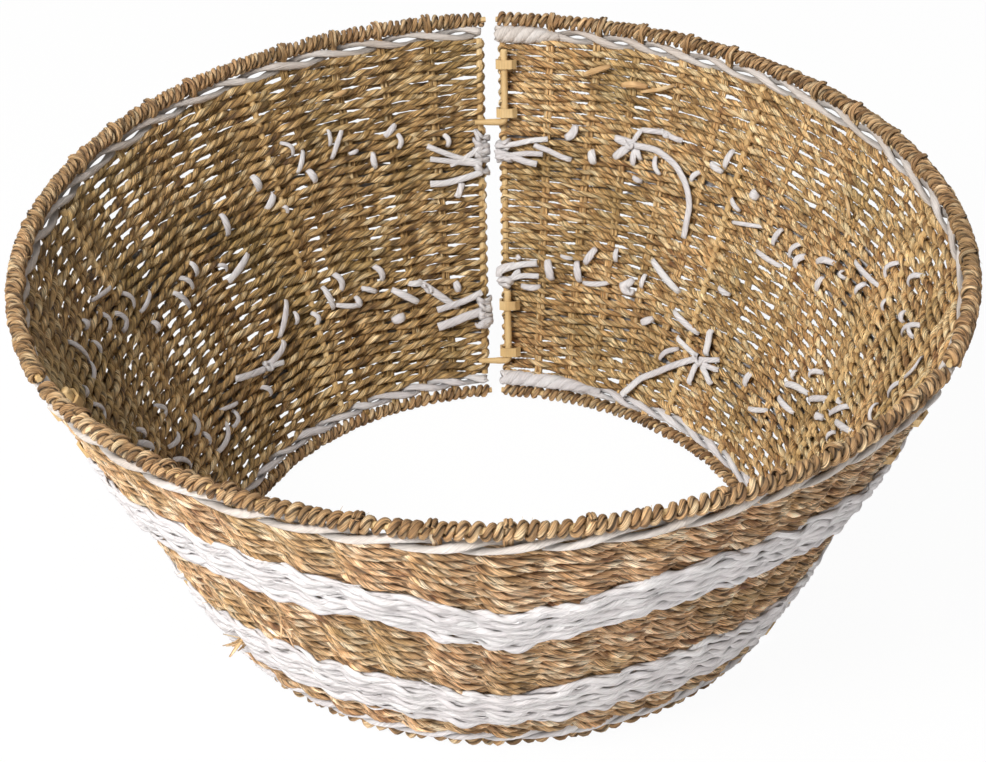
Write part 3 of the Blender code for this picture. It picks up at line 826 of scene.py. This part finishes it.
for k, name in enumerate(panels):
    for band, (low, high) in white_bands.items():
        rng = np.random.default_rng(500 + 10 * k + len(band) + (band == "upper"))
        tubes = []
        for row in range(band_rows):
            place = low + band_margin + (high - low - 2 * band_margin) * (row + 0.5) / band_rows
            ragged = ragged_edge if row in (0, band_rows - 1) else ragged_row
            stake, height, offset, run = band_row(k, place, ragged, rng)
            path, normal, _ = woven(k, height, share_at(stake, height), offset, run, 1.0)
            path[1:-1] = (path[:-2] + path[1:-1] + path[2:]) / 3
            bent = np.cross(unit(np.gradient(path, axis=0)), [0.0, 0.0, 1.0])
            facing = np.sign((bent * normal).sum(1))[len(path) // 2]
            normal = unit(bent * facing)
            travel = lengths(path)
            wide = paper_width * varied(travel, 0.030, 0.30, rng)
            split = paper_split * varied(travel, 0.05, 0.5, rng)
            turned = lay_turn(path, paper_lay, 1, rng, 2.4)
            tubes += rope(path, normal, turned, wide, split, press=0.55, flat=0.42)
        tubes += [sliver(k, low, high, rng) for _ in range(sliver_count)]
        make_piece(name, band + "_band_cords", tubes, white_cord, "white_paper_cord",
                   f"{name}_{band}_white_band")

# %% [markdown]
# ## Pins
# Each latch is an L-shaped rattan rod. The long arm stands in the loops of the next panel, and
# the short one goes across the seam into the weave. A rod is a tube along a path, drawn thinner
# towards the end of the short arm where it was whittled.

# %% Bend the pins
pin_radius, pin_side, pin_bend, leg_reach = 0.0024, 0.0089, 0.0032, 0.0120


def panel_lean(side):
    """The most that the wall lies inside the seam's own plane, at a distance along it: side
    times the tangent of the difference in angle, plus side squared over twice the bend."""
    place = np.array([lower_leg_place, slant_length - upper_leg_down + pin_length])
    _, bend, reach, _ = arc_at(place)
    return float((side * np.tan(half_turn - reach) + side**2 / (2 * bend)).max())


pin_offset = -(wall_half + clearance + pin_radius + panel_lean(pin_side))


def seam_axes(panel, edge):
    """A seam's own frame at the wide ring: along the ring clockwise, outward, and up the seam."""
    azimuth = math.radians(270) + panel_turn * panel + edge * half_turn
    flat = np.array([math.cos(azimuth), math.sin(azimuth), 0.0])
    rise = np.array([0.0, 0.0, 1.0])
    along = np.array([math.sin(azimuth), -math.cos(azimuth), 0.0])
    outward = flat * math.cos(lean) - rise * math.sin(lean)
    upward = flat * math.sin(lean) + rise * math.cos(lean)
    start = flat * wide_seam_radius + rise * (foot_level + ring_rise) + ring_shift
    return start, along, outward, upward


for k, name in enumerate(panels):
    start, along, outward, upward = seam_axes(k, -1)
    for level, down in (("upper", upper_leg_down), ("lower", lower_leg_down)):
        rng = np.random.default_rng(600 + 10 * k + (level == "upper"))
        up_line = np.linspace(pin_length, pin_bend, 40)
        t = np.linspace(0, math.pi / 2, 10)[1:-1]
        leg = np.linspace(-pin_bend, -pin_side - leg_reach, 26)
        side = np.concatenate([0 * up_line, pin_bend * (np.cos(t) - 1), leg])
        rise = np.concatenate([up_line, pin_bend * (1 - np.sin(t)), 0 * leg])
        travel = np.linspace(0, 1, len(side))
        thick = pin_radius * (1 - 0.06 * wander(travel, 0.5, rng) ** 2)
        thick = thick * (1 - 0.30 * smooth((travel - 0.72) / 0.28))
        thick[0] *= 0.86
        path = (start + along * (pin_side + side)[:, None] + outward * pin_offset
                + upward * (rise - down)[:, None])
        normal = np.broadcast_to(-outward, path.shape)
        body = f"back_{level}_pin" if name == "back_left" else None
        make_piece(name, level + "_rattan_pin", [(path, normal, thick * 0.97, thick)], rattan,
                   "rattan", f"{name}_{level}_pin", body=body, sides=16, creased=False)

# %% Finish the CAD nodes that stay
for node_name, node_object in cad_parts.items():
    if node_object.hide_render:
        continue
    node_object.data.materials.clear()
    node_object.data.materials.append(rattan_node)
    strip_loop = "loop_" in node_name and "edge" not in node_name
    if strip_loop:
        rounding = node_object.modifiers.new("worn_edges", "BEVEL")
        rounding.width, rounding.segments = 0.0008, 3
print("CAD nodes shown:", sum(not o.hide_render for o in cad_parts.values()))

# %% [markdown]
# ## White stitches on the inside
# Where the bands are worked over the outer face, short loops and ends of the white cord show
# inside. They are placed by where the picture shows them: each pixel is taken back to the wall
# by small steps that close the distance, so every stitch sits on the weave. Its ends dive
# between the rows. The front panel's inner face isn't seen, and has loops of the same kind.

# %% Find pixels on the wall


def on_wall(panel, pixels, offset):
    """Height and share of the wall points that fall on pixels: the nearest of a grid of points,
    then Newton steps with slopes from small changes."""
    pixels = np.atleast_2d(np.asarray(pixels, float))
    place, share = np.meshgrid(np.linspace(0, slant_length, 70), np.linspace(-1, 1, 110),
                               indexing="ij")
    grid = np.stack([place.ravel(), share.ravel()], -1)
    seen = picture(wall(panel, grid[:, 0], grid[:, 1], offset)[0])
    found = grid[((seen[None] - pixels[:, None]) ** 2).sum(-1).argmin(1)]
    small = 1e-5
    for _ in range(5):
        here = picture(wall(panel, found[:, 0], found[:, 1], offset)[0])
        rise = (picture(wall(panel, found[:, 0] + small, found[:, 1], offset)[0]) - here) / small
        side = (picture(wall(panel, found[:, 0], found[:, 1] + small, offset)[0]) - here) / small
        slopes = np.stack([rise, side], -1)
        found = found + np.linalg.solve(slopes, (pixels - here)[..., None])[..., 0]
        found = np.clip(found, (0.0, -1.0), (slant_length, 1.0))
    return found[:, 0], found[:, 1]


inner_face = -0.0052
print("latch pixel on the wall:", [np.round(x, 3) for x in on_wall(1, (498, 113), inner_face)])

# %% Stitches seen in the picture
# Ends in pixels, sideways bow in pixels, and width in pixels.
stitches = {
    "back_left": (
        (282, 143, 294, 156, -4, 4), (304, 150, 299, 173, 0, 5), (329, 130, 331, 146, 0, 4),
        (343, 129, 333, 159, 1, 5), (396, 124, 385, 137, 0, 6), (397, 133, 399, 149, -3, 5),
        (374, 153, 377, 168, 2, 6), (443, 134, 448, 147, -3, 5), (350, 154, 359, 150, 0, 4),
        (309, 170, 317, 182, 0, 7), (254, 176, 261, 190, 0, 8), (275, 193, 268, 209, 0, 7),
        (280, 205, 288, 215, -3, 4), (223, 214, 230, 235, 0, 7), (250, 253, 229, 283, 0, 7),
        (218, 265, 228, 272, -3, 4), (288, 300, 281, 338, 0, 6), (296, 312, 298, 324, 0, 5),
        (313, 313, 318, 325, -3, 5), (333, 273, 342, 292, -4, 6), (374, 266, 383, 281, -3, 6),
        (324, 287, 335, 309, 0, 6), (336, 305, 361, 305, 1, 5), (357, 297, 361, 307, 0, 6),
        (363, 288, 378, 292, 0, 5), (393, 290, 420, 303, 0, 7), (394, 321, 405, 316, 0, 9),
        (417, 280, 459, 309, 0, 7), (409, 284, 424, 283, 0, 6), (456, 282, 459, 292, 0, 7),
        (120, 292, 136, 308, -4, 5), (100, 312, 111, 330, -4, 5), (118, 312, 126, 331, -4, 6),
        (152, 290, 143, 312, 0, 5), (176, 292, 192, 307, 0, 6), (179, 277, 195, 290, -3, 5),
        (192, 262, 199, 275, 0, 6), (85, 319, 89, 328, 0, 8), (71, 340, 92, 360, 0, 6),
        (92, 360, 95, 380, 0, 6), (95, 340, 103, 354, 0, 6), (85, 385, 88, 395, 0, 6),
        (92, 402, 106, 420, -4, 5), (114, 285, 94, 300, 0, 4), (155, 321, 160, 331, 0, 7),
        (157, 405, 166, 417, -4, 5), (190, 413, 198, 435, -4, 6), (178, 430, 172, 446, -3, 5),
        (205, 432, 212, 444, 0, 6), (227, 420, 220, 452, -4, 6), (235, 410, 235, 427, -3, 5),
        (140, 442, 156, 447, 0, 7), (140, 428, 147, 435, 0, 6), (172, 460, 194, 467, -4, 5),
        (136, 450, 145, 452, 0, 7), (222, 410, 240, 402, 0, 4), (262, 387, 272, 396, -3, 5),
    ),
    "back_right": (
        (565, 138, 575, 126, 3, 8), (591, 150, 593, 164, 0, 8), (614, 138, 636, 145, 0, 8),
        (642, 129, 632, 143, 0, 5), (613, 158, 630, 146, 0, 8), (632, 166, 635, 147, 0, 6),
        (640, 160, 637, 149, 0, 5), (655, 156, 659, 175, 2, 5), (632, 177, 641, 182, 0, 5),
        (732, 150, 723, 168, 0, 6), (709, 163, 721, 172, 0, 6), (700, 172, 690, 182, 2, 5),
        (751, 191, 756, 198, 0, 9), (730, 198, 738, 211, 0, 5), (730, 222, 763, 227, 0, 4),
        (780, 229, 771, 245, 0, 6), (754, 250, 780, 267, 0, 5), (595, 249, 584, 264, 0, 7),
        (616, 249, 615, 262, 0, 5), (547, 260, 551, 280, 0, 8), (576, 262, 579, 282, 0, 7),
        (582, 283, 608, 283, 1, 5), (517, 256, 520, 260, 0, 5), (521, 286, 540, 287, 1, 6),
        (560, 256, 572, 259, 0, 4), (619, 286, 632, 280, 2, 8), (621, 287, 630, 293, 0, 8),
        (645, 274, 640, 288, 0, 5), (651, 260, 678, 293, 0, 7), (717, 287, 728, 295, 0, 5),
        (640, 323, 652, 319, 0, 7), (672, 311, 697, 334, 0, 6), (677, 349, 658, 360, 3, 5),
        (744, 385, 750, 373, 0, 6), (801, 243, 788, 258, 3, 5), (803, 256, 795, 268, 3, 7),
        (814, 262, 834, 264, -3, 6), (821, 277, 815, 291, 0, 7), (841, 270, 843, 278, 2, 4),
        (852, 260, 877, 286, 0, 5), (863, 283, 853, 293, 0, 6), (896, 262, 884, 278, 4, 5),
        (921, 275, 906, 285, 4, 5), (885, 298, 881, 310, 0, 5), (903, 310, 900, 321, 0, 8),
        (918, 324, 899, 334, 3, 5), (908, 324, 910, 336, 0, 5), (901, 377, 919, 355, 5, 5),
        (794, 370, 791, 379, 0, 5), (749, 372, 743, 386, 0, 6), (782, 384, 805, 393, -3, 6),
        (807, 377, 820, 372, -3, 5), (776, 396, 791, 412, 0, 6), (806, 399, 825, 398, 0, 6),
        (827, 414, 846, 405, 0, 6), (837, 398, 839, 403, 0, 5), (814, 415, 820, 417, 0, 7),
        (833, 420, 849, 431, 0, 6), (825, 439, 832, 431, 0, 5), (825, 460, 837, 446, 3, 6),
        (746, 408, 765, 410, 1, 5), (868, 420, 874, 402, 0, 6), (886, 396, 897, 381, 0, 6),
    ),
}
pixel_size = 0.00078  # metres to a pixel, at the back of the ring


stitch_rise = 0.0030


def stitch(panel, line, width):
    """A flat cord along wall points (height, share): the offset goes from inside the weave up
    over its face as the square root of a sine, and back in."""
    place, share = line
    t = np.linspace(0, 1, len(place))
    offset = inner_face + 0.0026 - stitch_rise * np.sqrt(np.sin(math.pi * t) + 1e-6)
    path, normal, _ = wall(panel, place, share, offset)
    wide = width / 2 * (0.75 + 0.25 * np.sin(math.pi * t))
    return path, -normal, wide * 0.34 + 0.0002, wide


stitch_tubes = {name: [] for name in panels}
for name, rows in stitches.items():
    k = panels.index(name)
    t = np.linspace(0, 1, 13)
    table = np.array(rows, float)
    first, last = table[:, None, 0:2], table[:, None, 2:4]
    along = last - first
    square = np.stack([-along[..., 1], along[..., 0]], -1)
    square = square / np.linalg.norm(square, axis=-1, keepdims=True)
    pixels = first + along * t[None, :, None] + square * (table[:, None, 4, None]
                                                         * np.sin(math.pi * t)[None, :, None])
    place, share = on_wall(k, pixels.reshape(-1, 2), inner_face)
    place, share = place.reshape(len(table), -1), share.reshape(len(table), -1)
    for p, s, width in zip(place, share, table[:, 5]):
        stitch_tubes[name].append(stitch(k, (p, s), width * pixel_size))
print("stitches:", {name: len(tubes) for name, tubes in stitch_tubes.items()})

# %% Knots, tails and fans at the back seam
long_ends = {
    "back_right": (
        (((632, 145), (645, 147), (658, 150), (676, 164), (687, 184), (691, 206), (683, 238)), 6),
        (((642, 130), (655, 131), (667, 133), (672, 137), (682, 141)), 5),
        (((697, 358), (672, 366), (658, 372), (641, 378), (630, 388), (621, 395)), 6),
        (((677, 337), (687, 347), (697, 356)), 5), (((711, 330), (709, 343), (706, 355)), 7),
        (((719, 360), (708, 360), (699, 359)), 5), (((718, 370), (708, 366), (700, 362)), 5),
        (((689, 384), (693, 374), (697, 364)), 6), (((711, 384), (707, 374), (702, 365)), 6),
        (((493, 146), (515, 144), (532, 140), (548, 139)), 5),
        (((492, 158), (510, 155), (528, 153), (543, 154)), 5),
        (((493, 150), (508, 155), (524, 161), (537, 164)), 6),
        (((534, 145), (548, 150), (560, 156), (571, 160)), 5),
        (((491, 276), (506, 268), (522, 264), (537, 263)), 6),
        (((491, 281), (508, 279), (524, 275), (539, 276)), 5),
        (((493, 272), (504, 266), (515, 264)), 5), (((513, 277), (517, 272), (520, 271)), 5),
    ),
    "back_left": (
        (((427, 146), (442, 152), (456, 157), (482, 163)), 5),
        (((430, 159), (450, 161), (468, 163), (482, 164)), 5),
        (((450, 165), (462, 160), (474, 152), (482, 146)), 5),
        (((430, 184), (446, 183), (464, 178), (482, 172)), 6),
        (((462, 183), (460, 190), (457, 197)), 6),
        (((437, 310), (452, 305), (466, 300), (482, 292)), 6),
        (((438, 327), (452, 322), (466, 316), (482, 311)), 8),
        (((284, 341), (280, 352), (268, 365)), 6), (((236, 379), (252, 374), (266, 368)), 6),
        (((268, 366), (276, 364), (284, 362)), 5),
    ),
}
knots = {"back_right": ((629, 144, 9), (666, 134, 6), (699, 360, 10), (630, 290, 9)),
         "back_left": ((267, 366, 9), (427, 288, 9))}
for name, rows in long_ends.items():
    k = panels.index(name)
    for pixels, width in rows:
        line = smooth_path(pixels, 8 * len(pixels))
        place, share = on_wall(k, line, inner_face)
        path, normal, _ = wall(k, place, share, inner_face)
        t = np.linspace(0, 1, len(place))
        ends = smooth(t / 0.12) * smooth((1 - t) / 0.12)
        at_edge = np.abs(share[-1]) > 0.93 or np.abs(share[0]) > 0.93
        lift = (0.0014 * (0.4 + 0.6 * ends) if at_edge else 0.0018 * ends - 0.0006)
        wide = np.broadcast_to(width * pixel_size / 2, len(path))
        stitch_tubes[name].append((path - normal * lift[:, None], -normal, wide * 0.4, wide))
    for column, row, size in knots[name]:
        t = np.linspace(0, 2 * math.pi, 26)
        ring = np.stack([column + size * 0.42 * np.cos(t), row + size * 0.42 * np.sin(t * 1.5)], 1)
        place, share = on_wall(k, ring, inner_face)
        path, normal, _ = wall(k, place, share, inner_face - 0.0012 - 0.0012 * np.sin(t * 3))
        stitch_tubes[name].append((path, -normal, 0.0010, 0.0013))
print("with ends and knots:", {name: len(tubes) for name, tubes in stitch_tubes.items()})

# %% Loops on the inner face that the picture doesn't show
hidden_loop_count = 26  # to a band of the front panel
for k, name in enumerate(panels):
    rng = np.random.default_rng(700 + k)
    for low, high in white_bands.values():
        for _ in range(hidden_loop_count if name == "front" else 0):
            place, share = rng.uniform(low, high), rng.uniform(-0.9, 0.9)
            reach, tilt = rng.uniform(0.006, 0.013), rng.uniform(-0.9, 0.9)
            t = np.linspace(-0.5, 0.5, 13)
            bow = rng.choice((-1, 0, 1)) * 0.003 * np.cos(math.pi * t)
            line = (place + reach * np.cos(tilt) * t,
                    share + (reach * np.sin(tilt) * t + bow) / half_length(place))
            stitch_tubes[name].append(stitch(k, line, rng.uniform(0.0030, 0.0045)))
    make_piece(name, "white_stitches", stitch_tubes[name], white_cord, "white_paper_cord", sides=8)

# %% [markdown]
# ## Bound cord ends
# Beside the back seam the white cord of the right-hand panel is plaited into a thick end, at the
# wide rim and again at the narrow one. Three strands about one path, thinner and thinner away
# from the seam, give the plait and its taper.

# %% Plait the cord ends
for label, place, share_end, lay, thick, material in (
        ("wide", cord_place["wide"] - 0.0008, 0.845, 0.022, 1.3, cream_cord),
        ("narrow", cord_place["narrow"] + 0.0010, 0.60, 0.028, 1.15, white_cord)):
    share = np.linspace(0.995, share_end, 90)
    path, normal, _ = wall(1, place, share, weave_middle - 0.0022)
    fade = 1 - smooth((np.linspace(0, 1, 90) - 0.45) / 0.55)
    rng = np.random.default_rng(800 + len(label))
    turned = lay_turn(path, lay, -1, rng, 0.4)
    tubes = rope(path, normal, turned, thick * (0.0016 + 0.0012 * fade),
                 thick * (0.0011 + 0.0012 * fade), plies=3)
    make_piece("back_right", label + "_plaited_end", tubes, material, "white_paper_cord", sides=8)

# %% [markdown]
# ## Loose fibres and cut ends
# Dry seagrass sheds hairs, and where a rope was cut its fibres spread. A hair is a thin tube
# that leaves the surface and bends. They are few and fine, but without them the outline would
# be too clean for a plant material.

# %% Add loose fibres
hair_colour = plant_material("loose_fibre", ((0.0, (170, 134, 84)), (0.5, (206, 174, 122)),
                                             (1.0, (234, 212, 170))),
                             seagrass_fibre, (0.8, 1.1), 0.2, (0.6, 0.85))


hair_count, rim_hair_share = 110, 0.35
rim_root, weave_root = rim_radius["wide"] - 0.0016, 0.0042  # where a hair starts, off the middle


def bent_line(point, way, bend, length, t):
    """A line that leaves a point and bends: point + way * l + bend * l squared / length."""
    return point + way * (length * t)[:, None] + bend * (length * t**2)[:, None]


def hair(point, way, bend, length, thick):
    """A bent hair, thinner towards its tip."""
    t = np.linspace(0, 1, 6)
    path = bent_line(point, way, bend, length, t)
    side = np.broadcast_to(np.cross(way, bend) + 1e-4, path.shape)
    return path, side, thick * (1 - 0.7 * t), thick * (1 - 0.7 * t)


for k, name in enumerate(panels):
    rng = np.random.default_rng(900 + k)
    tubes = []
    for _ in range(hair_count):
        on_rim = rng.random() < rim_hair_share
        place = slant_length if on_rim else rng.uniform(wall_start, wall_end)
        out = rng.choice((-1, 1))
        lift = rim_root if on_rim else weave_root
        point, normal, along = wall(k, place, rng.uniform(-0.98, 0.98), out * lift)
        way = unit(normal * out * rng.uniform(0.15, 0.8) + along * rng.uniform(-1, 1)
                   + np.array([0, 0, rng.uniform(-0.6, 0.6)]))
        tubes.append(hair(point, way, rng.normal(0, 0.35, 3),
                          rng.uniform(0.0015, 0.003 if on_rim else 0.007),
                          rng.uniform(0.00016, 0.00028)))
    make_piece(name, "loose_fibres", tubes, hair_colour, "seagrass_weave", sides=4, creased=False)

# %% Spread the cut rope ends


def blade(point, way, bend, length, wide, side):
    """A bent leaf blade, widest a third of the way along, and thin in the side direction."""
    t = np.linspace(0, 1, 8)
    path = bent_line(point, way, bend, length, t)
    shape = 0.45 + 0.55 * np.sin(math.pi * np.clip(0.25 + 0.8 * t, 0, 1))
    return path, np.broadcast_to(side, path.shape), 0.00022 * np.ones(8), wide / 2 * shape


# panel, pixel, offset, leaning (along, outward, down) and count of blades
cut_ends = (("front", (283, 621), 0.0088, (0.8, 0.25, 0.35), 16),
            ("front", (245, 640), 0.0062, (-0.7, 0.35, 0.5), 14))
for number, (name, pixel, offset, lean_way, count) in enumerate(cut_ends):
    k = panels.index(name)
    rng = np.random.default_rng(950 + number)
    (place,), (share,) = on_wall(k, pixel, offset)
    place, share = min(place, slant_length), float(np.clip(share, -0.99, 0.99))
    point, normal, along = wall(k, place, share, offset)
    tubes = []
    for _ in range(count):
        way = unit(along * lean_way[0] + normal * lean_way[1] + rng.normal(0, 0.3, 3)
                   - np.array([0, 0, lean_way[2]]))
        tubes.append(blade(point + rng.normal(0, 0.0012, 3), way, rng.normal(0, 0.15, 3),
                           rng.uniform(0.008, 0.014), rng.uniform(0.0016, 0.0030), normal))
    make_piece(name, f"cut_end_{number}", tubes, seagrass[name], "seagrass_weave", creased=False)

# %% Lay the dry leaf strips
# Pixels along each strip, and its width in pixels.
strips = {"back_right": ((((583, 75), (597, 70), (611, 66)), 6),
                         (((621, 85), (634, 84), (648, 87)), 7),
                         (((640, 92), (658, 90), (676, 85)), 4),
                         (((846, 196), (851, 207), (850, 219)), 5),
                         (((560, 214), (571, 219), (583, 221)), 4)),
          "back_left": ((((333, 96), (341, 93), (347, 90)), 5),)}
for name, rows in strips.items():
    k = panels.index(name)
    tubes = []
    for pixels, width in rows:
        place, share = on_wall(k, smooth_path(pixels, 16), inner_face)
        t = np.linspace(0, 1, 16)
        path, normal, _ = wall(k, place, share, inner_face - 0.0022 * np.sin(math.pi * t) ** 0.5)
        wide = width * pixel_size / 2 * (0.35 + 0.65 * np.sin(math.pi * (0.15 + 0.7 * t)))
        tubes.append((path, -normal, 0.00022 * np.ones(16), wide))
    make_piece(name, "leaf_strips", tubes, dry_leaf, "seagrass_weave", creased=False)

# %% [markdown]
# ## Floor, light and background
# The picture is a cut-out on white. A white floor keeps a soft shadow, and to the camera both
# floor and world are plain white. The light is soft: a strong lamp from the upper left, a weak
# one low in front and a weak one above and behind, with a dim white world for the shadows.

# %% Stage and light
world_light, floor_glow = 0.25, 0.96  # what the world gives, and how white the camera sees floor
floor_level, floor_reach = -0.0003, 6.0
scene = bpy.context.scene
scene.view_settings.view_transform = "Standard"
world = bpy.data.worlds.new("studio")
scene.world = world
world.use_nodes = True
tree = world.node_tree
back = tree.nodes["Background"]
back.inputs["Color"].default_value = (1.0, 0.985, 0.97, 1.0)
rays = add(tree, "LightPath").outputs
clear = calc(tree, "MAXIMUM", rays["Is Camera Ray"], rays["Is Transmission Ray"])
shine = calc(tree, "MAXIMUM", clear, rays["Is Glossy Ray"])
level = add(tree, "MapRange", {0: shine, 3: world_light, 4: 1.0})
tree.links.new(level.outputs[0], back.inputs["Strength"])

floor_mesh = bpy.data.meshes.new("floor")
floor_mesh.from_pydata([(x * floor_reach, y * floor_reach, floor_level)
                        for x, y in ((-1, -1), (1, -1), (1, 1), (-1, 1))], [], [(0, 1, 2, 3)])
floor = bpy.data.objects.new("floor", floor_mesh)
scene.collection.objects.link(floor)
paper = bpy.data.materials.new("white_floor")
paper.use_nodes = True
tree = paper.node_tree
paper_shader = tree.nodes["Principled BSDF"]
paper_shader.inputs["Base Color"].default_value = (0.86, 0.86, 0.86, 1.0)
paper_shader.inputs["Roughness"].default_value = 0.9
glow = add(tree, "Emission", {"Color": (1.0, 1.0, 1.0, 1.0), "Strength": 1.0})
much = calc(tree, "MULTIPLY", add(tree, "LightPath").outputs["Is Camera Ray"], floor_glow)
blend = add(tree, "MixShader", {0: much, 1: paper_shader.outputs[0], 2: glow.outputs[0]})
tree.links.new(blend.outputs[0], tree.nodes["Material Output"].inputs["Surface"])
floor_mesh.materials.append(paper)


def lamp(name, place, size, power, tint):
    """A square soft lamp that looks at the object's middle."""
    light = bpy.data.lights.new(name, "AREA")
    light.size, light.energy, light.color = size, power, tint
    made = bpy.data.objects.new(name, light)
    scene.collection.objects.link(made)
    aim = np.array([0.0, 0.0, 0.12]) - np.array(place)
    back_way = unit(-aim)
    side = unit(np.cross([0.0, 0.0, 1.0], back_way))
    frame_of = np.eye(4)
    frame_of[:3, 0], frame_of[:3, 1] = side, np.cross(back_way, side)
    frame_of[:3, 2], frame_of[:3, 3] = back_way, place
    made.matrix_world = Matrix(frame_of.tolist())


lamp("key_lamp", (-1.1, -1.3, 1.9), 0.8, 70.0, (1.0, 0.99, 0.97))
lamp("front_lamp", (-0.4, -2.0, 0.5), 1.1, 13.0, (1.0, 0.99, 0.98))
lamp("top_lamp", (0.3, 0.9, 2.0), 1.2, 8.0, (1.0, 1.0, 1.0))
